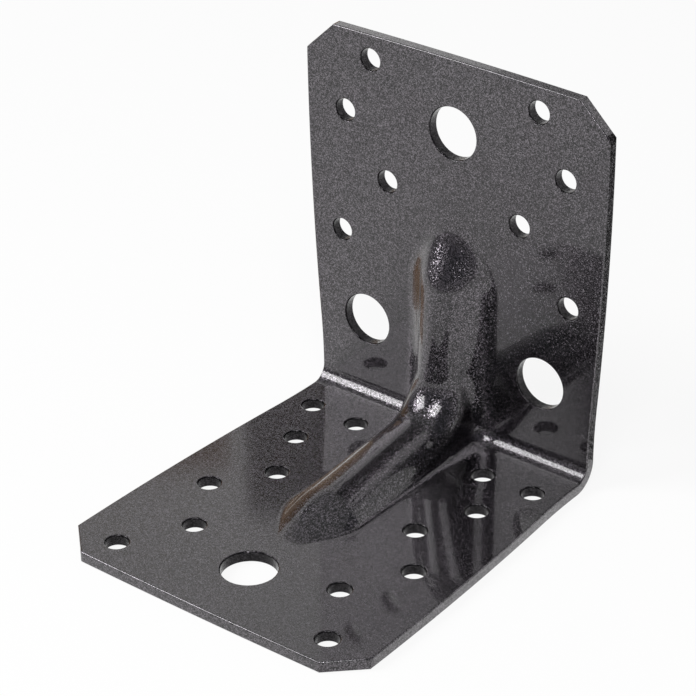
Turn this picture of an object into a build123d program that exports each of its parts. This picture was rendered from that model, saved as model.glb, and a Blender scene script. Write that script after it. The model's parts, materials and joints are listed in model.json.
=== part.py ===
from build123d import *
from math import sin, cos, radians, sqrt
import os

# Heavy-duty angle bracket, folded from one sheet: a wall leg and a base leg at a right
# angle, stiffened by one rib pressed up across the inside corner, so that the outside
# carries a trough of the same form. Millimetres, +Z up. The origin is the heel, where the
# two outer faces would meet, in the middle of the width: the underside of the base leg is
# Z = 0, the back of the wall leg is Y = 0, and the base leg runs toward -Y.

# sheet
sheet_t = 3.0
wall_height = 105.0
base_length = 102.5
end_width = 90.0
bend_inner_r = 4.0
corner_chamfer = 8.5
end_bow = 0.5
edge_break = 0.35

# forming the rib draws the sheet in, so each side edge narrows toward the bend in a curve
# that turns hollow at a set distance from the heel
bend_width = 83.4
draw_turn = 22.0

# rib crest: the radius it turns with at the corner, that arc's height over each leg, the
# angle by which each run closes on its leg, where the rib ends and the length it sinks over
crest_bend_r = 10.0
crest_wall = 9.9
crest_base = 9.6
lean_wall = 7.4
lean_base = 7.2
rib_top = 63.0
rib_front = 70.0
ramp_wall = 19.0
ramp_base = 18.0

# rib foot: half width where the flank meets the leg, and the radius it meets it with,
# along the wall leg, at the corner, where the base run starts and where it ends
foot_wall, foot_r_wall = 14.1, 8.0
foot_corner, foot_r_corner = 14.7, 5.8
foot_base, foot_r_base = 11.6, 2.4
foot_front, foot_r_front = 11.0, 1.8
tip_share = 0.3

# where the rib's form is cut into sections, and how far it sinks below the leg face there
ramp_cuts = 7
corner_cuts = 14
run_cuts = 3
sink = 0.05
least_rise = 0.02
trough_reach = 12.0

# punched holes: each pair's distance from the middle, then from the heel or, at the end of
# a leg, from the free end; each end bolt stands alone on the middle line
bolt_d = 13.8
nail_d = 5.8
end_bolt_inset = 19.5
wall_bolt_x, wall_bolt_z = 26.9, 25.1
wall_end_nails = [(25.0, 6.8), (33.0, 22.4)]
wall_nails = [(20.0, 66.6), (34.6, 48.8)]
base_end_nails = [(32.4, 8.7), (22.5, 25.6)]
base_nails = [(31.8, 60.6), (21.6, 46.6), (28.4, 30.9), (20.0, 16.8), (34.7, 16.2)]
punch_over = 1.0

bend_outer_r = bend_inner_r + sheet_t
crest_y = -(sheet_t + crest_wall + crest_bend_r)
crest_z = sheet_t + crest_base + crest_bend_r


def mix(a, b, u):
    return a + (b - a) * u


def ease(u):
    """Smooth step from 0 to 1."""
    return u * u * (3 - 2 * u)


def leg_outline(length, way):
    """Edges of one leg's outline in (x, s): bend line, drawn-in sides, chamfers, bowed free end.

    A side is two arcs, upright at the bend and at the chamfer, so they meet on its chord.
    """
    s0, s1 = bend_outer_r, length - corner_chamfer
    x0, x1 = bend_width / 2, end_width / 2
    x_turn = mix(x0, x1, (draw_turn - s0) / (s1 - s0))
    x_end = x1 - corner_chamfer
    s_end = length - end_bow * (x_end / x1) ** 2
    with BuildLine() as outline:
        Line((-x0, way * s0), (x0, way * s0))
        for k in (-1, 1):
            TangentArc((k * x0, way * s0), (k * x_turn, way * draw_turn), tangent=(0, way))
            TangentArc((k * x1, way * s1), (k * x_turn, way * draw_turn), tangent=(0, -way))
            Line((k * x1, way * s1), (k * x_end, way * s_end))
        ThreePointArc((-x_end, way * s_end), (0, way * length), (x_end, way * s_end))
    return outline.edges()


def face_distance(y, z, a, depth):
    """Distance from (y, z) to the sheet's surface at this depth, along a ray into the corner.

    The ray drops at angle a from level. It ends on the wall leg, the base leg or the bend arc.
    """
    to_wall = (-depth - y) / cos(a) if a < radians(89) else float("inf")
    to_base = (z - depth) / sin(a) if a > radians(1) else float("inf")
    reach = min(to_wall, to_base)
    if y + reach * cos(a) > -bend_outer_r and z - reach * sin(a) < bend_outer_r:
        cy, cz = -bend_outer_r - y, bend_outer_r - z
        along = cy * cos(a) - cz * sin(a)
        reach = along + sqrt((bend_outer_r - depth) ** 2 - cy**2 - cz**2 + along**2)
    return reach


def crest_height(y, z, a):
    """Height of the crest over the sheet on the ray from (y, z), before its ends sink.

    Round the corner the crest is an arc. Its runs leave the arc in a tangent at their lean.
    """
    lean = radians(lean_wall if a < radians(45) else lean_base)
    from_leg = min(a, radians(90) - a)
    run = max(z - crest_z, crest_y - y)
    reach = (crest_bend_r + run * sin(lean)) / cos(max(lean - from_leg, 0))
    return face_distance(y, z, a, sheet_t) - reach


def sunk_foot(rise, crest, foot):
    """Half width of the rib where its crest has sunk to a share of its height.

    A round crest that sinks into the sheet narrows to a point; a small share of the width stays.
    """
    h = crest * rise
    return sqrt(foot**2 * rise + crest * h - h**2 + (tip_share * foot) ** 2 * (1 - rise))


def rib_cuts():
    """Sections of the rib from its upper end to its front: (y, z, angle, crest, foot, foot radius).

    Sections of the wall run are level, those of the base run upright, and those of the
    corner fan out about the centre line of the crest's bend.
    """
    ramp = [(1 - cos(radians(180 * i / ramp_cuts))) / 2 for i in range(ramp_cuts + 1)]
    cuts = []
    for u in reversed(ramp):
        z = rib_top - ramp_wall * (1 - u)
        rise = 1 - ease(u)
        crest = crest_height(crest_y, z, 0)
        cuts.append((crest_y, z, 0, crest * rise, sunk_foot(rise, crest, foot_wall), foot_r_wall))
    for i in range(1, run_cuts):
        z = mix(rib_top - ramp_wall, crest_z, i / run_cuts)
        cuts.append((crest_y, z, 0, crest_height(crest_y, z, 0), foot_wall, foot_r_wall))
    for i in range(corner_cuts):
        u = i / corner_cuts
        a = radians(90 * u)
        bulge = (4 * u * (1 - u)) ** 2
        foot = mix(mix(foot_wall, foot_base, ease(u)), foot_corner, bulge)
        foot_r = mix(mix(foot_r_wall, foot_r_base, ease(u)), foot_r_corner, bulge)
        cuts.append((crest_y, crest_z, a, crest_height(crest_y, crest_z, a), foot, foot_r))
    front = -(rib_front - ramp_base)
    for i in range(run_cuts):
        u = i / run_cuts
        y = mix(crest_y, front, u)
        foot, foot_r = mix(foot_base, foot_front, u), mix(foot_r_base, foot_r_front, u)
        cuts.append((y, crest_z, radians(90), crest_height(y, crest_z, radians(90)), foot, foot_r))
    for u in ramp:
        y = front - ramp_base * u
        rise = 1 - ease(u)
        crest = crest_height(y, crest_z, radians(90))
        cuts.append((y, crest_z, radians(90), crest * rise, sunk_foot(rise, crest, foot_front), foot_r_front))
    return cuts


def rib_arcs(crest, foot, foot_r, floor):
    """The two foot arcs and the crest arc of a section, tangent in turn, each as three points.

    From height h, half width w and foot radius r, the crest radius is (w2 + h2 - 2 r h) / 2 h.
    """
    crest_r = (foot**2 + crest**2 - 2 * foot_r * crest) / (2 * crest)
    lean = foot / (crest_r + foot_r)
    steep = sqrt(1 - lean**2)
    half_steep = sqrt((1 + steep) / 2)
    half_lean = sqrt((1 - steep) / 2)
    join = (foot - foot_r * lean, floor - foot_r * (1 - steep))
    middle = (foot - foot_r * half_lean, floor - foot_r * (1 - half_steep))
    right = [(foot, floor), middle, join]
    left = [(-x, s) for x, s in right]
    return [left, [left[2], (0, floor - crest), join], right]


def mirrored(places, way):
    """Each place of a leg, given as (x, s), on both sides of the middle."""
    return [(k * x, way * s) for x, s in places for k in (-1, 1)]


def flat_leg(plane, length, way):
    """One flat leg, its edges broken all round except where it meets the bend."""
    with BuildPart() as leg:
        with BuildSketch(plane):
            make_face(leg_outline(length, way))
        extrude(amount=sheet_t)
        for side in (0, -1):
            rims = leg.edges().filter_by(Axis.X, reverse=True).group_by(Axis((0, 0, 0), plane.z_dir))[side]
            chamfer(rims, edge_break)
    return leg.part


wall_leg = flat_leg(Plane.XZ, wall_height, 1)
base_leg = flat_leg(Plane.XY, base_length, -1)

with BuildPart() as bracket:
    add([wall_leg, base_leg])

    # the quarter bend, turned from the sheet's own section
    with BuildSketch(Plane.XY.offset(bend_outer_r)):
        with Locations((0, -sheet_t / 2)):
            chamfer(Rectangle(bend_width, sheet_t).vertices(), edge_break)
    bend_axis = Axis((0, -bend_outer_r, bend_outer_r), (1, 0, 0))
    revolve(axis=bend_axis, revolution_arc=-90)

    # the rib pressed up from the inner faces, then its trough pressed in from the outer ones
    for depth, mode in ((sheet_t, Mode.ADD), (0, Mode.SUBTRACT)):
        for y, z, a, crest, foot, foot_r in rib_cuts():
            inner, outer = face_distance(y, z, a, sheet_t), face_distance(y, z, a, 0)
            floor, back = inner + sink, inner + sheet_t / 2
            if mode == Mode.SUBTRACT:
                crest, foot_r = crest - sheet_t + outer - inner, foot_r + sheet_t
                floor, back = outer + sink, outer + trough_reach
            with BuildSketch(Plane(origin=(0, y, z), x_dir=(1, 0, 0), z_dir=(0, sin(a), cos(a)))):
                with BuildLine():
                    for arc in rib_arcs(max(crest, least_rise), foot, foot_r, floor):
                        ThreePointArc(*arc)
                    Polyline((-foot, floor), (-foot, back), (foot, back), (foot, floor))
                make_face()
        loft(ruled=True, mode=mode)

    # bolt and nail holes of the wall leg, then of the base leg
    for plane, length, way, bolts, end_nails, nails in (
        (Plane.XZ, wall_height, 1, [(wall_bolt_x, wall_bolt_z)], wall_end_nails, wall_nails),
        (Plane.XY, base_length, -1, [], base_end_nails, base_nails),
    ):
        nails = nails + [(x, length - inset) for x, inset in end_nails]
        with BuildSketch(plane.offset(-punch_over)):
            with Locations([(0, way * (length - end_bolt_inset))] + mirrored(bolts, way)):
                Circle(bolt_d / 2)
            with Locations(mirrored(nails, way)):
                Circle(nail_d / 2)
        extrude(amount=sheet_t + 2 * punch_over, mode=Mode.SUBTRACT)

bracket.part.label = "bracket"
os.makedirs("parts", exist_ok=True)
export_step(bracket.part, "parts/bracket.step")
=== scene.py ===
import json
import math

import bpy
import numpy as np
from bpy.props import FloatProperty, FloatVectorProperty, PointerProperty
from mathutils import Matrix, Vector


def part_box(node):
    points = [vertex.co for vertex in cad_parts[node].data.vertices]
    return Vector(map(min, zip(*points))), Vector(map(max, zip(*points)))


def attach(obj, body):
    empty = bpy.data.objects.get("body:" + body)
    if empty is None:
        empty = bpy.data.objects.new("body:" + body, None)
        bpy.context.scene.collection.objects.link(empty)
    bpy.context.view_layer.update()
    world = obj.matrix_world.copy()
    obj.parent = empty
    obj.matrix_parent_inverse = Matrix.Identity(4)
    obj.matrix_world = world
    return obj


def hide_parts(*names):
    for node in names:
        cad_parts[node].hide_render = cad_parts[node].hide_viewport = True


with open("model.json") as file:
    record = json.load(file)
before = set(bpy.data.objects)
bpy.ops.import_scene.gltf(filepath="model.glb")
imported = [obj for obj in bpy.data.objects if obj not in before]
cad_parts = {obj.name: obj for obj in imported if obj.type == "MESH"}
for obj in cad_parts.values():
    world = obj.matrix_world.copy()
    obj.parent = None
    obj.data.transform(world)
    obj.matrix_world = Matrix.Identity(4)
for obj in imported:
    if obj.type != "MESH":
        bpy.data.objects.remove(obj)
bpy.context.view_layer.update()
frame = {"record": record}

bl_info = {
    "name": "Angle bracket",
    "version": (1, 0, 0),
    "blender": (4, 5, 0),
    "location": "3D View > Sidebar > Bracket",
    "description": "A folded angle bracket with a pressed corner rib, its coating and its stage",
    "category": "Object",
}

NODE = "bracket"
BODY = "root"
LOW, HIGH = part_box(NODE)


# Sizes and colours

def length(name, default, description):
    """A property for a length in metres."""
    return FloatProperty(
        name=name, description=description, default=default,
        min=0.0, precision=5, subtype="DISTANCE", unit="LENGTH",
    )


def share(name, default, description):
    """A property for a plain number from 0 to 1."""
    return FloatProperty(
        name=name, description=description, default=default,
        min=0.0, max=1.0, precision=3, subtype="FACTOR",
    )


def colour(name, default, description):
    """A property for a colour in linear red, green and blue."""
    return FloatVectorProperty(
        name=name, description=description, default=default,
        size=3, min=0.0, max=1.0, subtype="COLOR",
    )


def angle(name, default, description):
    """A property for an angle, with its default in degrees."""
    return FloatProperty(
        name=name, description=description, default=math.radians(default),
        min=0.0, subtype="ANGLE", unit="ROTATION",
    )


def row_of_lengths(name, default, description):
    """A property for lengths at stations along the rib, in metres."""
    return FloatVectorProperty(
        name=name, description=description, default=default,
        size=len(default), min=0.0, precision=5, unit="LENGTH",
    )


class SheetSizes(bpy.types.PropertyGroup):
    """Sizes of the folded sheet. Its two lengths and its width come from the frame."""

    thickness: length("Sheet thickness", 0.003, "Thickness of the sheet")
    height: length("Wall leg", HIGH.z, "Height of the wall leg over the base leg's underside")
    reach: length("Base leg", -LOW.y, "Reach of the base leg from the wall leg's back")
    width: length("End width", HIGH.x - LOW.x, "Width at the chamfers of the free ends")
    bend_radius: length("Bend radius", 0.004, "Radius of the bend on its inside")
    bend_width: length("Bend width", 0.0834, "Width at the bend, where forming draws the sheet in")
    draw_turn: length("Side turn", 0.022, "Distance from the heel at which the side edge turns hollow")
    chamfer: length("Corner chamfer", 0.0085, "Size of the chamfers at the free ends")
    end_bow: length("End bow", 0.0005, "How far each free end bows out over the full width")
    rim_round: length("Rim round", 0.0004, "Rounding along the cut and punched rims")


class RibSizes(bpy.types.PropertyGroup):
    """Sizes of the pressed rib.

    The stations of its foot are the wall run, the corner, and both ends of the base run.
    """

    crest_wall: length("Crest over wall leg", 0.0099, "Height of the crest over the wall leg")
    crest_base: length("Crest over base leg", 0.0096, "Height of the crest over the base leg")
    crest_turn: length("Crest turn", 0.010, "Radius with which the crest turns at the corner")
    lean_wall: angle("Wall run lean", 7.4, "Angle by which the crest's wall run closes on the wall leg")
    lean_base: angle("Base run lean", 7.2, "Angle by which the crest's base run closes on the base leg")
    top: length("Rib top", 0.063, "Height at which the rib ends on the wall leg")
    front: length("Rib front", 0.070, "Distance at which the rib ends on the base leg")
    ramp_wall: length("Wall ramp", 0.019, "Length over which the rib sinks into the wall leg")
    ramp_base: length("Base ramp", 0.018, "Length over which the rib sinks into the base leg")
    foot: row_of_lengths(
        "Foot half width", (0.0141, 0.0147, 0.0116, 0.0110), "Half width of the rib at each station")
    fillet: row_of_lengths(
        "Foot fillet", (0.0080, 0.0058, 0.0024, 0.0018), "Radius at the rib's foot at each station")
    tip_share: share("Tip width", 0.3, "Share of the foot width that is left where the rib has sunk away")


class CoatingLook(bpy.types.PropertyGroup):
    """Look of the dark metallic coating."""

    pigment: colour("Pigment", (0.066, 0.060, 0.067), "Colour of the metallic base under the clear coat")
    flake: length("Flake size", 0.00022, "Width of one metallic flake")
    sparkle: share("Flake contrast", 1.0, "How far the flakes differ in brightness")
    tilt: share("Flake tilt", 0.15, "How far the flakes lean from the surface")
    polish: share("Flake roughness", 0.2, "Roughness of a single flake")
    gloss: share("Coat roughness", 0.06, "Roughness of the clear coat")
    # The holes' share is painted shade: it darkens the colour and the clear coat on the punched walls, in
    # place of the shade inside the holes
    unshaded_share: share("Painted shade in the holes", 0.25, "Share of colour and clear coat kept on the punched walls, lower is painted shade")


class StageLook(bpy.types.PropertyGroup):
    """Floor, surroundings and lamps."""

    floor: colour("Floor", (0.86, 0.86, 0.86), "Colour of the floor")
    world: share("Surroundings", 0.3, "Brightness of the surroundings on the object")
    lamp: FloatProperty(
        name="Lamps", description="Radiance of both lamps, where 1 is the white of the floor",
        default=8.0, min=0.0,
    )


# Folded sheet and its rib

# Rows of the mesh: their steps in metres along the rib's runs, along its ramps with some slack at
# both ends, and along the flat legs, how many lie on a chamfer, and their steps in degrees round
# the corner, which are finer between two angles
RUN_STEP = 0.001
RAMP_STEP = 0.0005
FLAT_STEP = 0.0012
RAMP_SLACK = 0.003
CHAMFER_ROWS = 9
FAN_STEP = 2.2
FINE_FAN_STEP = 0.75
FINE_FAN = (35, 58)

# Columns of the mesh from its middle to the side edge: over the rib's crest, which takes the
# first share of its half profile, over the rest of the rib, and on the flat sheet, where they
# crowd a little toward the edge
CREST_SHARE = 0.78
CREST_COLUMNS = 16
FOOT_COLUMNS = 11
FLAT_COLUMNS = 29
EDGE_CROWDING = 0.25

# Past the rib's ends its columns take one half width, reached over a short distance
PLAIN_FOOT = 0.013
PLAIN_FOOT_RUN = 0.012

# A row with a lower crest counts as flat, and a flat row's arcs are worked out from the least one
FLAT_CREST = 1e-6
LEAST_CREST = 1e-8

# The square of cells that a hole takes out is this much wider than the hole on each side. The
# ring that fills it has a loop of points at this share of the way from the circle to its border
WINDOW_MARGIN = 0.0015
RING_SHARE = 0.45

# Edges that turn by more than this many degrees are rims, rounded in so many segments
RIM_ANGLE = 50.0
RIM_SEGMENTS = 3

# Divisors are kept at least this far from zero
NEARLY_ZERO = 1e-9


def mix(a, b, u):
    """Straight blend from a to b."""
    return a + (b - a) * u


def ease(u):
    """Smooth step from 0 to 1: three squares less two cubes, flat outside that range."""
    u = np.clip(u, 0.0, 1.0)
    return u * u * (3 - 2 * u)


def spaced(start, end, step):
    """Even stations from start to end, about a step apart, without the last one."""
    count = max(1, round(abs(end - start) / step))
    return np.linspace(start, end, count, endpoint=False)


def half_width(s, leg, sheet):
    """Half the sheet's width at distance s from the heel, on a leg of this length.

    Level with the bend it is constant. From there two arcs, one turning out and one turning
    back, meet in a common tangent at the side turn. Past the second arc comes the chamfer.
    """
    s0 = sheet.bend_radius + sheet.thickness
    s1 = leg - sheet.chamfer
    x0, x1 = sheet.bend_width / 2, sheet.width / 2
    turn = sheet.draw_turn
    x_turn = mix(x0, x1, (turn - s0) / (s1 - s0))
    out_r = ((x_turn - x0) ** 2 + (turn - s0) ** 2) / (2 * (x_turn - x0))
    back_r = ((x1 - x_turn) ** 2 + (s1 - turn) ** 2) / (2 * (x1 - x_turn))
    near = x0 + out_r - np.sqrt(out_r**2 - np.clip(s - s0, 0, turn - s0) ** 2)
    far = x1 - back_r + np.sqrt(back_r**2 - np.clip(s1 - s, 0, s1 - turn) ** 2)
    return np.where(s < turn, near, far)


def face_distance(y, z, a, depth, sheet):
    """Distance from (y, z) to the sheet's surface at this depth, along rays dropping at angle a.

    It is the shorter of the runs to the wall leg and to the base leg, unless that ends beyond
    the bend's centre, where the ray meets the bend's arc instead.
    """
    r = sheet.bend_radius + sheet.thickness
    cos, sin = np.maximum(np.cos(a), NEARLY_ZERO), np.maximum(np.sin(a), NEARLY_ZERO)
    reach = np.minimum((-depth - y) / cos, (z - depth) / sin)
    in_bend = (y + reach * cos > -r) & (z - reach * sin < r)
    cy, cz = -r - y, r - z
    along = cy * cos - cz * sin
    arc = along + np.sqrt(np.maximum((r - depth) ** 2 - cy**2 - cz**2 + along**2, 0))
    return np.where(in_bend, arc, reach)


def crest_centre(sheet, rib):
    """The centre line of the crest's turn at the corner, as (y, z)."""
    y = -(sheet.thickness + rib.crest_wall + rib.crest_turn)
    z = sheet.thickness + rib.crest_base + rib.crest_turn
    return y, z


def leg_rows(near, ramp_start, tip, end, chamfer):
    """Distances of one leg's rows from the heel, closest where the rib sinks into the leg."""
    last = end - chamfer
    return np.concatenate([
        spaced(near, ramp_start - RAMP_SLACK, RUN_STEP),
        spaced(ramp_start - RAMP_SLACK, tip + RAMP_SLACK, RAMP_STEP),
        spaced(tip + RAMP_SLACK, last, FLAT_STEP),
        np.linspace(last, end, CHAMFER_ROWS),
    ])


def section_rays(sheet, rib):
    """Origin (y, z) and angle of every section's ray, from the wall leg's end to the base leg's.

    Rays of the wall leg are level, those of the base leg upright, and those of the corner fan
    out about the centre line of the crest's turn.
    """
    crest_y, crest_z = crest_centre(sheet, rib)
    wall = leg_rows(crest_z, rib.top - rib.ramp_wall, rib.top, sheet.height, sheet.chamfer)[::-1]
    base = leg_rows(-crest_y, rib.front - rib.ramp_base, rib.front, sheet.reach, sheet.chamfer)
    start, end = FINE_FAN
    fan = np.radians(np.concatenate([
        spaced(0, start, FAN_STEP), spaced(start, end, FINE_FAN_STEP), spaced(end, 90, FAN_STEP),
    ]))[1:]
    y = np.concatenate([np.full(len(wall), crest_y), np.full(len(fan), crest_y), -base])
    z = np.concatenate([wall, np.full(len(fan), crest_z), np.full(len(base), crest_z)])
    a = np.concatenate([np.zeros(len(wall)), fan, np.full(len(base), np.pi / 2)])
    return y, z, a


def rib_sections(sheet, rib):
    """Every section's ray, with the crest's height, the foot's half width and its fillet there.

    Foot and fillet blend from the wall run to the base run, by way of the corner's own values.
    The crest is the distance to the leg's face less that to the crest line, times a smooth
    step down each ramp. The foot narrows there as a round crest does when it sinks.
    """
    y, z, a = section_rays(sheet, rib)
    crest_y, crest_z = crest_centre(sheet, rib)
    foot_wall, foot_corner, foot_base, foot_front = rib.foot
    fillet_wall, fillet_corner, fillet_base, fillet_front = rib.fillet
    u = a / (np.pi / 2)
    bulge = (4 * u * (1 - u)) ** 2
    run = np.clip((crest_y - y) / (crest_y + rib.front - rib.ramp_base), 0, 1)
    foot = mix(mix(foot_wall, foot_base, ease(u)), foot_corner, bulge)
    foot = mix(foot, foot_front, run)
    fillet = mix(mix(fillet_wall, fillet_base, ease(u)), fillet_corner, bulge)
    fillet = mix(fillet, fillet_front, run)

    lean = np.where(u < 0.5, rib.lean_wall, rib.lean_base)
    from_leg = np.minimum(a, np.pi / 2 - a)
    out = np.maximum(z - crest_z, crest_y - y)
    crest_at = (rib.crest_turn + out * np.sin(lean)) / np.cos(np.maximum(lean - from_leg, 0))
    crest = face_distance(y, z, a, sheet.thickness, sheet) - crest_at

    past_wall = (z - rib.top + rib.ramp_wall) / rib.ramp_wall
    past_base = (-y - rib.front + rib.ramp_base) / rib.ramp_base
    rise = 1 - ease(np.where(a == 0, past_wall, past_base) * ((a == 0) | (u == 1)))
    sunk = crest * rise
    tip = (rib.tip_share * foot) ** 2 * (1 - rise)
    foot = np.sqrt(foot**2 * rise + crest * sunk - sunk**2 + tip)
    beyond = np.maximum(z - rib.top, -y - rib.front)
    foot = mix(foot, PLAIN_FOOT, ease(beyond / PLAIN_FOOT_RUN))
    return y, z, a, sunk, foot, fillet


def rib_profile(t, crest, foot, fillet):
    """Across half the rib, from its middle to its foot: x and height at shares t of its length.

    The profile is a crest arc and a foot arc that meet in a common tangent. From height h, half
    width w and fillet r, the crest arc's radius is (w squared + h squared - 2 r h) / 2 h.
    """
    crest = np.maximum(crest, LEAST_CREST)
    crest_r = (foot**2 + crest**2 - 2 * fillet * crest) / (2 * crest)
    turn = np.arcsin(np.clip(foot / (crest_r + fillet), 0, 1))
    along = t * (crest_r + fillet) * turn
    on_crest = along < crest_r * turn
    a1 = along / crest_r
    a2 = turn - (along - crest_r * turn) / fillet
    x = np.where(on_crest, crest_r * np.sin(a1), foot - fillet * np.sin(a2))
    h = np.where(on_crest, crest - 2 * crest_r * np.sin(a1 / 2) ** 2, 2 * fillet * np.sin(a2 / 2) ** 2)
    return x, h


def sheet_face(depth, sheet, rib):
    """One face of the sheet as a grid of points: rows along the sheet, columns across it.

    A point is its row's ray origin, plus the ray's direction times the distance to the leg's
    face less the rib's height there. Past the rib's foot the columns spread to the side edge.
    """
    y, z, a, crest, foot, fillet = (v[:, None] for v in rib_sections(sheet, rib))
    reach = face_distance(y, z, a, depth, sheet)
    inner = face_distance(y, z, a, sheet.thickness, sheet)
    rib_t = np.concatenate([
        np.linspace(0, CREST_SHARE, CREST_COLUMNS, endpoint=False),
        np.linspace(CREST_SHARE, 1, FOOT_COLUMNS),
    ])
    flat_t = np.linspace(0, 1, FLAT_COLUMNS + 1)[1:]
    flat_t = mix(flat_t, 1 - (1 - flat_t) ** 2, EDGE_CROWDING)

    # the trough's profile is the rib's, moved out through the sheet
    over = (reach - inner - (sheet.thickness - depth)) * (crest > FLAT_CREST)
    x, h = rib_profile(rib_t, crest + over, foot, fillet + sheet.thickness - depth)
    h = h * (crest > FLAT_CREST)

    along_y, along_z = y + reach * np.cos(a), z - reach * np.sin(a)
    on_wall = along_z > -along_y
    s = np.where(on_wall, along_z, -along_y)
    leg = np.where(on_wall, sheet.height, sheet.reach)
    # the row's share of the chamfer, and the bow that it takes across the free end
    q = np.clip((s - leg + sheet.chamfer) / sheet.chamfer, 0, 1)
    x_end = sheet.width / 2 - sheet.chamfer
    bow = sheet.end_bow * (x_end / (sheet.width / 2)) ** 2
    side = half_width(s, leg, sheet) - sheet.chamfer * q
    x = np.concatenate([x, mix(x[:, -1:], side, flat_t)], axis=1)
    h = np.concatenate([h, np.zeros((len(h), len(flat_t)))], axis=1)
    drop = bow * q * (x / side) ** 2 + bow * q * (1 - q) * (1 - (x / side) ** 2)

    # the other half is the first one mirrored, without its middle column
    x = np.concatenate([-x[:, :0:-1], x], axis=1)
    h = np.concatenate([h[:, :0:-1], h], axis=1)
    drop = np.concatenate([drop[:, :0:-1], drop], axis=1)
    py = y + (reach - h) * np.cos(a) + np.where(on_wall, 0, drop)
    pz = z - (reach - h) * np.sin(a) - np.where(on_wall, drop, 0)
    return np.stack([x, py, pz], axis=-1)


def punched_holes():
    """Every hole as (leg, x, distance from the heel, radius), from the frame's mounts."""
    holes = []
    for mount in frame["record"]["mounts"]:
        dims, (x, y, z) = mount["dims"], mount["pos_m"]
        radius = dims.get("r_mm", dims.get("hole_r_mm"))
        if radius is None:
            continue
        leg, s = ("wall", z) if abs(mount["axis"][1]) > 0.5 else ("base", -y)
        half = dims.get("spacing_x_mm", 0.0) / 2000
        for place in sorted({x - half, x + half}):
            holes.append((leg, place, s, radius / 1000))
    return holes


def loop_of(rows, columns):
    """Flat (row, column) indices once round the rectangle that two ranges bound."""
    j0, j1 = rows
    i0, i1 = columns
    i, j = np.arange(i0, i1), np.arange(j0, j1)
    return (
        np.concatenate([np.full(len(i), j0), j, np.full(len(i), j1), (j + 1)[::-1]]),
        np.concatenate([i, np.full(len(j), i1), (i + 1)[::-1], np.full(len(j), i0)]),
    )


def strip(first, second):
    """Quads between two closed loops of point numbers with the same count."""
    return np.stack([first, np.roll(first, -1), np.roll(second, -1), second], axis=1)


def on_leg(points, leg):
    """Places of points on a leg: x, and the distance from the heel."""
    return points[..., 0], points[..., 2] if leg == "wall" else -points[..., 1]


def window_round(faces, leg, hx, hs, r):
    """Ranges of rows and of columns that bound the cells of a hole and its margin on both faces."""
    rows, columns = faces[0].shape[:2]
    half = slice(0, rows // 2) if leg == "wall" else slice(rows // 2, rows)
    near = np.zeros((rows, columns), bool)
    for face in faces:
        x, s = on_leg(face[half], leg)
        near[half] |= (abs(x - hx) < r + WINDOW_MARGIN) & (abs(s - hs) < r + WINDOW_MARGIN)
    j, i = np.where(near)
    return (j.min() - 1, j.max() + 1), (i.min() - 1, i.max() + 1)


def circle_on(edge, leg, hx, hs, r, angles):
    """A loop of a face's points moved onto the hole's circle, each to its own angle."""
    circle = edge.copy()
    circle[:, 0] = hx + r * np.cos(angles)
    if leg == "wall":
        circle[:, 2] = hs + r * np.sin(angles)
    else:
        circle[:, 1] = -(hs + r * np.sin(angles))
    return circle


def sheet_mesh(sheet, rib):
    """Points and quads of the whole closed sheet, and which quads line a hole.

    Both faces are grids of the same rows and columns. Round each hole a window of cells is
    taken out of both, and a ring of quads fills it from the window's border to the hole's
    circle. Strips of quads join the two faces down each hole and round the outline.
    """
    faces = [sheet_face(sheet.thickness, sheet, rib), sheet_face(0.0, sheet, rib)]
    rows, columns = faces[0].shape[:2]
    in_face = rows * columns
    number = np.arange(in_face).reshape(rows, columns)
    keep = np.ones((rows - 1, columns - 1), bool)
    points = [face.reshape(-1, 3) for face in faces]
    total = 2 * in_face
    quads, walls = [], []
    for leg, hx, hs, r in punched_holes():
        (j0, j1), (i0, i1) = window_round(faces, leg, hx, hs, r)
        keep[j0:j1, i0:i1] = False
        lj, li = loop_of((j0, j1), (i0, i1))
        border = number[lj, li]
        x, s = on_leg(faces[0][lj, li], leg)
        angles = np.arctan2(s - hs, x - hx)
        circles = []
        for outer_side, face in enumerate(faces):
            edge = face[lj, li]
            circle = circle_on(edge, leg, hx, hs, r, angles)
            points += [circle, mix(circle, edge, RING_SHARE)]
            on_circle = total + np.arange(len(border))
            on_middle = on_circle + len(border)
            total += 2 * len(border)
            on_border = border + outer_side * in_face
            for ring in (strip(on_border, on_middle), strip(on_middle, on_circle)):
                quads.append(ring if outer_side else ring[:, ::-1])
            circles.append(on_circle)
        walls.append(sum(len(ring) for ring in quads) + np.arange(len(border)))
        quads.append(strip(*circles)[:, ::-1])

    j, i = np.where(keep)
    cell = np.stack([number[j, i], number[j, i + 1], number[j + 1, i + 1], number[j + 1, i]], axis=1)
    quads += [cell[:, ::-1], cell + in_face]
    outline = number[loop_of((0, rows - 1), (0, columns - 1))]
    quads.append(strip(outline, outline + in_face))

    points, quads = np.concatenate(points), np.concatenate(quads)
    in_hole = np.zeros(len(quads), bool)
    in_hole[np.concatenate(walls)] = True
    used, quads = np.unique(quads, return_inverse=True)
    return points[used], quads.reshape(-1, 4), in_hole


def mesh_object(name, points, quads):
    """A smooth-shaded mesh object from arrays of points and quads."""
    mesh = bpy.data.meshes.new(name)
    mesh.vertices.add(len(points))
    mesh.vertices.foreach_set("co", points.ravel())
    mesh.loops.add(quads.size)
    mesh.loops.foreach_set("vertex_index", quads.ravel())
    mesh.polygons.add(len(quads))
    mesh.polygons.foreach_set("loop_start", np.arange(0, quads.size, 4))
    mesh.polygons.foreach_set("use_smooth", np.ones(len(quads), bool))
    mesh.update(calc_edges=True)
    mesh.validate()
    piece = bpy.data.objects.new(name, mesh)
    bpy.context.scene.collection.objects.link(piece)
    return piece


# Coating

LACQUER_IOR = 1.5

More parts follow.
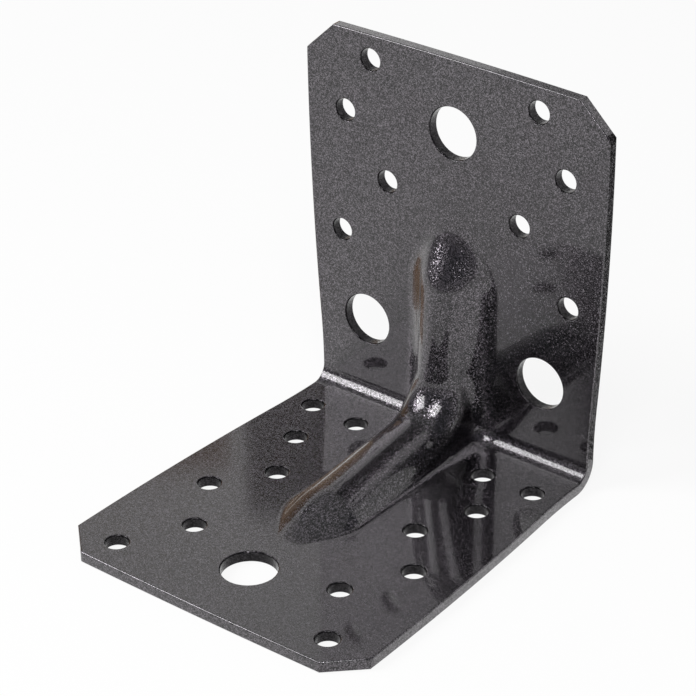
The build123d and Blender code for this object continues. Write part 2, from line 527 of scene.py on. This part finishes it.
# Inputs and outputs of the node group that makes the flakes
FLAKE_SOCKETS = (
    ("Colour", "INPUT", "NodeSocketColor"),
    ("Flakes per metre", "INPUT", "NodeSocketFloat"),
    ("Dullest", "INPUT", "NodeSocketFloat"),
    ("Brightest", "INPUT", "NodeSocketFloat"),
    ("Lean", "INPUT", "NodeSocketFloat"),
    ("Colour", "OUTPUT", "NodeSocketColor"),
    ("Normal", "OUTPUT", "NodeSocketVector"),
)


def node(tree, kind, place=(0, 0), **values):
    """A new node of a tree, with attributes set by name."""
    made = tree.nodes.new(kind)
    made.location = place
    for key, value in values.items():
        setattr(made, key, value)
    return made


def flake_group():
    """Metallic flakes as a node group: the colour and the normal of the flake at each point.

    A flake's colour is the given one times its brightness, which is the square of an even random
    share, spread from the dullest flake's to the brightest one's, so that most are dull and a few
    bright. Its normal is the surface's plus the flake's own random lean, at unit length.
    """
    tree = bpy.data.node_groups.new("metallic flakes", "ShaderNodeTree")
    for name, way, kind in FLAKE_SOCKETS:
        tree.interface.new_socket(name, in_out=way, socket_type=kind)
    link = tree.links.new
    given = node(tree, "NodeGroupInput", (-1700, 200))
    result = node(tree, "NodeGroupOutput", (-350, 0))

    place = node(tree, "ShaderNodeTexCoord", (-1700, 0))
    flakes = node(tree, "ShaderNodeTexVoronoi", (-1500, 0), feature="F1")
    link(given.outputs["Flakes per metre"], flakes.inputs["Scale"])
    link(place.outputs["Object"], flakes.inputs["Vector"])

    parts = node(tree, "ShaderNodeSeparateColor", (-1250, 150))
    link(flakes.outputs["Color"], parts.inputs["Color"])
    squared = node(tree, "ShaderNodeMath", (-1050, 150), operation="POWER")
    squared.inputs[1].default_value = 2.0
    link(parts.outputs["Red"], squared.inputs[0])
    bright = node(tree, "ShaderNodeMapRange", (-850, 150), clamp=False)
    link(given.outputs["Dullest"], bright.inputs["To Min"])
    link(given.outputs["Brightest"], bright.inputs["To Max"])
    link(squared.outputs["Value"], bright.inputs["Value"])
    tint = node(tree, "ShaderNodeVectorMath", (-600, 150), operation="SCALE")
    link(given.outputs["Colour"], tint.inputs[0])
    link(bright.outputs["Result"], tint.inputs["Scale"])
    link(tint.outputs["Vector"], result.inputs["Colour"])

    # each flake's own random colour, less its middle, is the way in which it leans
    lean = node(tree, "ShaderNodeVectorMath", (-1250, -150), operation="SUBTRACT")
    lean.inputs[1].default_value = (0.5, 0.5, 0.5)
    link(flakes.outputs["Color"], lean.inputs[0])
    scaled = node(tree, "ShaderNodeVectorMath", (-1050, -150), operation="SCALE")
    link(given.outputs["Lean"], scaled.inputs["Scale"])
    link(lean.outputs["Vector"], scaled.inputs[0])
    surface = node(tree, "ShaderNodeNewGeometry", (-1050, -350))
    total = node(tree, "ShaderNodeVectorMath", (-850, -150), operation="ADD")
    link(scaled.outputs["Vector"], total.inputs[0])
    link(surface.outputs["Normal"], total.inputs[1])
    leaning = node(tree, "ShaderNodeVectorMath", (-600, -150), operation="NORMALIZE")
    link(total.outputs["Vector"], leaning.inputs[0])
    link(leaning.outputs["Vector"], result.inputs["Normal"])
    return tree


def coating(name, look, unshaded_share, flakes):
    """Dark metallic coating: a base of metallic flakes under a clear coat.

    The unshaded share scales both the flakes' colour and the clear coat's weight: 1 leaves the coating
    as it is, and less darkens it as painted shade, as on the punched walls. A flake's brightness lies
    between 1 less the contrast and 1 plus twice the contrast, and its mean is 1.
    """
    material = bpy.data.materials.new(name)
    material.use_nodes = True
    tree = material.node_tree
    shader = tree.nodes["Principled BSDF"]
    base = node(tree, "ShaderNodeGroup", (-300, 0), node_tree=flakes)
    # Below 1 the unshaded share darkens the pigment here and the clear coat below, as painted shade
    base.inputs["Colour"].default_value = (*(unshaded_share * channel for channel in look.pigment), 1)
    base.inputs["Flakes per metre"].default_value = 1 / look.flake
    base.inputs["Dullest"].default_value = 1 - look.sparkle
    base.inputs["Brightest"].default_value = 1 + 2 * look.sparkle
    base.inputs["Lean"].default_value = 2 * look.tilt
    tree.links.new(base.outputs["Colour"], shader.inputs["Base Color"])
    tree.links.new(base.outputs["Normal"], shader.inputs["Normal"])
    shader.inputs["Metallic"].default_value = 1.0
    shader.inputs["Roughness"].default_value = look.polish
    shader.inputs["IOR"].default_value = LACQUER_IOR
    shader.inputs["Coat Weight"].default_value = unshaded_share
    shader.inputs["Coat Roughness"].default_value = look.gloss
    shader.inputs["Coat IOR"].default_value = LACQUER_IOR
    return material


# Bracket

class BRACKET_OT_shell(bpy.types.Operator):
    """Make the folded sheet with its pressed rib, bolt holes and nail holes"""

    bl_idname = "bracket.shell"
    bl_label = "Bracket"
    bl_options = {"REGISTER", "UNDO"}

    def execute(self, context):
        scene = context.scene
        points, quads, in_hole = sheet_mesh(scene.bracket_sheet, scene.bracket_rib)
        piece = mesh_object("bracket_shell", points, quads)
        # Quads that line a hole take the second material, the coating darkened as painted shade
        piece.data.polygons.foreach_set("material_index", in_hole.astype(np.int32))
        rounding = piece.modifiers.new("rim rounding", "BEVEL")
        rounding.width = scene.bracket_sheet.rim_round
        rounding.segments = RIM_SEGMENTS
        rounding.limit_method = "ANGLE"
        rounding.angle_limit = math.radians(RIM_ANGLE)
        rounding.use_clamp_overlap = False
        rounding.harden_normals = True
        look = scene.bracket_coating
        flakes = flake_group()
        piece.data.materials.append(coating("metallic coating", look, 1.0, flakes))
        # The second material is the coating darkened by the holes' share: painted shade on the punched
        # walls
        piece.data.materials.append(coating("coating with painted shade in the holes", look, look.unshaded_share, flakes))
        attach(piece, BODY)
        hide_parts(NODE)
        return {"FINISHED"}


# Stage

# The photograph's view: the point it aims at, its turn from the front toward +X, its rise and its
# roll in degrees, its distance from that point, and its lens and sensor in millimetres
AIM = Vector((-0.011619, -0.030, 0.034408))
VIEW_TURN = 38.81
VIEW_RISE = 30.136
VIEW_ROLL = -0.93
VIEW_DISTANCE = 0.69052
VIEW_LENS = 145.48
SENSOR_WIDTH = 36.0
CLIP_START, CLIP_END = 0.05, 20.0

# The floor's half size, its gap under the bracket and the share of it that is seen plain white
FLOOR_HALF = 4.0
FLOOR_GAP = 0.00005
FLOOR_WHITE = 0.88

# Lamps: name, turn and rise in degrees, width and height
LAMP_DISTANCE = 1.2
LAMPS = (
    ("key lamp", -46.0, 38.0, 0.52, 0.73),
    ("second lamp", 33.5, 46.0, 0.50, 0.60),
)

# Screens on a sphere round the bracket: name, range of turns and range of rises in degrees, tone
SCREEN_DISTANCE = 2.0
SCREEN_GRID = 25
SCREENS = (
    ("low front screen", (-95.0, 125.0), (1.0, 14.0), (0.36, 0.35, 0.37)),
    ("high front screen", (-95.0, 125.0), (14.0, 50.0), (0.19, 0.19, 0.21)),
    ("ceiling", (-180.0, 180.0), (50.0, 90.0), (0.48, 0.48, 0.49)),
    ("back ceiling", (125.0, 265.0), (41.0, 50.0), (0.60, 0.60, 0.60)),
    ("dark screen", (200.0, 222.2), (27.5, 34.0), (0.01, 0.01, 0.01)),
    ("tan screen", (222.7, 265.0), (1.0, 32.6), (0.34, 0.24, 0.17)),
)

# Flat cards, one on the floor at the bracket's left and one upright behind the right edge of the
# wall leg: name, a corner, the two sides from it, and tone. The upright card is painted shadow: its dark
# tone stands for the floor that the wall leg shades, as the edge reflects it
CARDS = (
    (
        "tan card", (-0.16, -0.030, 0.0001),
        (0.09, 0.0, 0.0), (0.0, 0.035, 0.0), (0.36, 0.24, 0.16),
    ),
    (
        "painted shadow card", (0.0472, 0.0098, 0.0),
        (0.0044, -0.0037, 0.0), (0.0030, 0.0, 0.105), (0.05, 0.05, 0.05),
    ),
)


def direction(turn, rise):
    """Unit vector: (sine of turn, minus cosine of turn) times cosine of rise, and sine of rise.

    Both angles are in degrees.
    """
    turn, rise = np.radians(turn), np.radians(rise)
    return np.stack([np.sin(turn) * np.cos(rise), -np.cos(turn) * np.cos(rise), np.sin(rise)], axis=-1)


def round_patch(turns, rises):
    """A patch of a sphere round the bracket, over a range of turns and one of rises.

    Its points are a grid of unit directions over both ranges, times the sphere's radius, about
    the point at floor height below the aim.
    """
    turns, rises = (np.linspace(*pair, SCREEN_GRID) for pair in (turns, rises))
    rises, turns = np.meshgrid(rises, turns)
    return np.array(AIM) * (1, 1, 0) + direction(turns, rises) * SCREEN_DISTANCE


def flat_patch(corner, along, up):
    """A flat patch: its corner, plus neither, one or both of its two sides."""
    corner, along, up = (np.array(v) for v in (corner, along, up))
    return np.array([[corner, corner + up], [corner + along, corner + along + up]])


def bare_material(name):
    """A new material without a shader, and its node tree."""
    material = bpy.data.materials.new(name)
    material.use_nodes = True
    tree = material.node_tree
    tree.nodes.remove(tree.nodes["Principled BSDF"])
    return material, tree


def seen_white(tree, lit, white, fill, output):
    """Shows camera, glossy and transmission rays a share of plain white in place of a lit shader."""
    link = tree.links.new
    path = node(tree, "ShaderNodeLightPath", (-700, 400))
    seen = node(tree, "ShaderNodeMath", (-500, 400), operation="ADD")
    link(path.outputs["Is Camera Ray"], seen.inputs[0])
    link(path.outputs["Is Glossy Ray"], seen.inputs[1])
    through = node(tree, "ShaderNodeMath", (-350, 400), operation="ADD", use_clamp=True)
    link(seen.outputs[0], through.inputs[0])
    link(path.outputs["Is Transmission Ray"], through.inputs[1])
    amount = node(tree, "ShaderNodeMath", (-200, 400), operation="MULTIPLY")
    link(through.outputs[0], amount.inputs[0])
    amount.inputs[1].default_value = fill
    mixed = node(tree, "ShaderNodeMixShader", (0, 200))
    link(amount.outputs[0], mixed.inputs[0])
    link(lit.outputs[0], mixed.inputs[1])
    link(white.outputs[0], mixed.inputs[2])
    link(mixed.outputs[0], output.inputs["Surface"])


def add_floor(look):
    """A level matt floor that takes the bracket's shadow."""
    half, level = FLOOR_HALF, LOW.z - FLOOR_GAP
    corners = np.array([
        [-half, -half, level], [half, -half, level], [half, half, level], [-half, half, level],
    ])
    floor = mesh_object("floor", corners, np.array([[0, 1, 2, 3]]))
    material, tree = bare_material("floor")
    matt = node(tree, "ShaderNodeBsdfDiffuse", (-300, 0))
    matt.inputs["Color"].default_value = (*look.floor, 1)
    white = node(tree, "ShaderNodeEmission", (-300, -200))
    seen_white(tree, matt, white, FLOOR_WHITE, tree.nodes["Material Output"])
    floor.data.materials.append(material)


def add_surroundings(scene, look):
    """A world that lights evenly and is seen plain white."""
    world = bpy.data.worlds.new("surroundings")
    world.use_nodes = True
    tree = world.node_tree
    plain = tree.nodes["Background"]
    plain.inputs["Color"].default_value = (1, 1, 1, 1)
    plain.inputs["Strength"].default_value = look.world
    white = node(tree, "ShaderNodeBackground", (0, -200))
    white.inputs["Color"].default_value = (1, 1, 1, 1)
    seen_white(tree, plain, white, 1.0, tree.nodes["World Output"])
    scene.world = world


def add_lamp(scene, look, name, turn, rise, wide, high):
    """A rectangular lamp that faces the bracket. Its power is radiance times pi times its area."""
    light = bpy.data.lights.new(name, "AREA")
    light.shape = "RECTANGLE"
    light.size, light.size_y = wide, high
    light.energy = look.lamp * math.pi * wide * high
    lamp = bpy.data.objects.new(name, light)
    way = Vector(direction(turn, rise))
    lamp.location = AIM + way * LAMP_DISTANCE
    lamp.rotation_mode = "QUATERNION"
    lamp.rotation_quaternion = way.to_track_quat("Z", "Y")
    scene.collection.objects.link(lamp)


def add_screen(name, points, tone):
    """A studio screen of a plain tone, through a grid of points, that only reflections see."""
    rows, columns = points.shape[:2]
    number = np.arange(rows * columns).reshape(rows, columns)
    corners = (number[:-1, :-1], number[1:, :-1], number[1:, 1:], number[:-1, 1:])
    piece = mesh_object(name, points.reshape(-1, 3), np.stack(corners, axis=-1).reshape(-1, 4))
    material, tree = bare_material(name)
    glow = node(tree, "ShaderNodeEmission", (-200, 0))
    glow.inputs["Color"].default_value = (*tone, 1)
    tree.links.new(glow.outputs[0], tree.nodes["Material Output"].inputs["Surface"])
    material.cycles.emission_sampling = "NONE"
    piece.data.materials.append(material)
    piece.visible_camera = False
    piece.visible_diffuse = False
    piece.visible_shadow = False


def add_camera(scene):
    """The photograph's camera: turned and raised round the aim, with a slight roll."""
    back = Vector(direction(VIEW_TURN, VIEW_RISE))
    camera = bpy.data.cameras.new("camera")
    camera.sensor_width = SENSOR_WIDTH
    camera.lens = VIEW_LENS
    camera.clip_start, camera.clip_end = CLIP_START, CLIP_END
    view = bpy.data.objects.new("camera", camera)
    view.location = AIM + back * VIEW_DISTANCE
    view.rotation_mode = "QUATERNION"
    roll = Matrix.Rotation(math.radians(VIEW_ROLL), 3, "Z")
    view.rotation_quaternion = back.to_track_quat("Z", "Y") @ roll.to_quaternion()
    scene.collection.objects.link(view)
    scene.camera = view


class BRACKET_OT_stage(bpy.types.Operator):
    """Make the floor, the surroundings, the lamps, the screens and the camera"""

    bl_idname = "bracket.stage"
    bl_label = "Stage"
    bl_options = {"REGISTER", "UNDO"}

    def execute(self, context):
        scene = context.scene
        look = scene.bracket_stage
        add_floor(look)
        add_surroundings(scene, look)
        for lamp in LAMPS:
            add_lamp(scene, look, *lamp)
        for name, turns, rises, tone in SCREENS:
            add_screen(name, round_patch(turns, rises), tone)
        # The dark card behind the wall leg's edge is painted shadow, seen only in reflections
        for name, corner, along, up, tone in CARDS:
            add_screen(name, flat_patch(corner, along, up), tone)
        add_camera(scene)
        scene.view_settings.view_transform = "Standard"
        return {"FINISHED"}


# Panel and registration

class BRACKET_PT_panel(bpy.types.Panel):
    """Buttons and sizes of the bracket"""

    bl_idname = "BRACKET_PT_panel"
    bl_label = "Angle bracket"
    bl_space_type = "VIEW_3D"
    bl_region_type = "UI"
    bl_category = "Bracket"

    def draw(self, context):
        layout = self.layout
        for operator in OPERATORS:
            layout.operator(operator.bl_idname)
        for attribute, group in GROUPS.items():
            box = layout.box()
            for key in group.__annotations__:
                box.prop(getattr(context.scene, attribute), key)


OPERATORS = (BRACKET_OT_shell, BRACKET_OT_stage)
GROUPS = {
    "bracket_sheet": SheetSizes,
    "bracket_rib": RibSizes,
    "bracket_coating": CoatingLook,
    "bracket_stage": StageLook,
}
CLASSES = (*GROUPS.values(), *OPERATORS, BRACKET_PT_panel)


def register():
    for cls in CLASSES:
        bpy.utils.register_class(cls)
    for attribute, group in GROUPS.items():
        setattr(bpy.types.Scene, attribute, PointerProperty(type=group))


def unregister():
    for attribute in GROUPS:
        delattr(bpy.types.Scene, attribute)
    for cls in reversed(CLASSES):
        bpy.utils.unregister_class(cls)


def main():
    register()
    bpy.ops.bracket.shell()
    bpy.ops.bracket.stage()


if __name__ == "__main__":
    main()
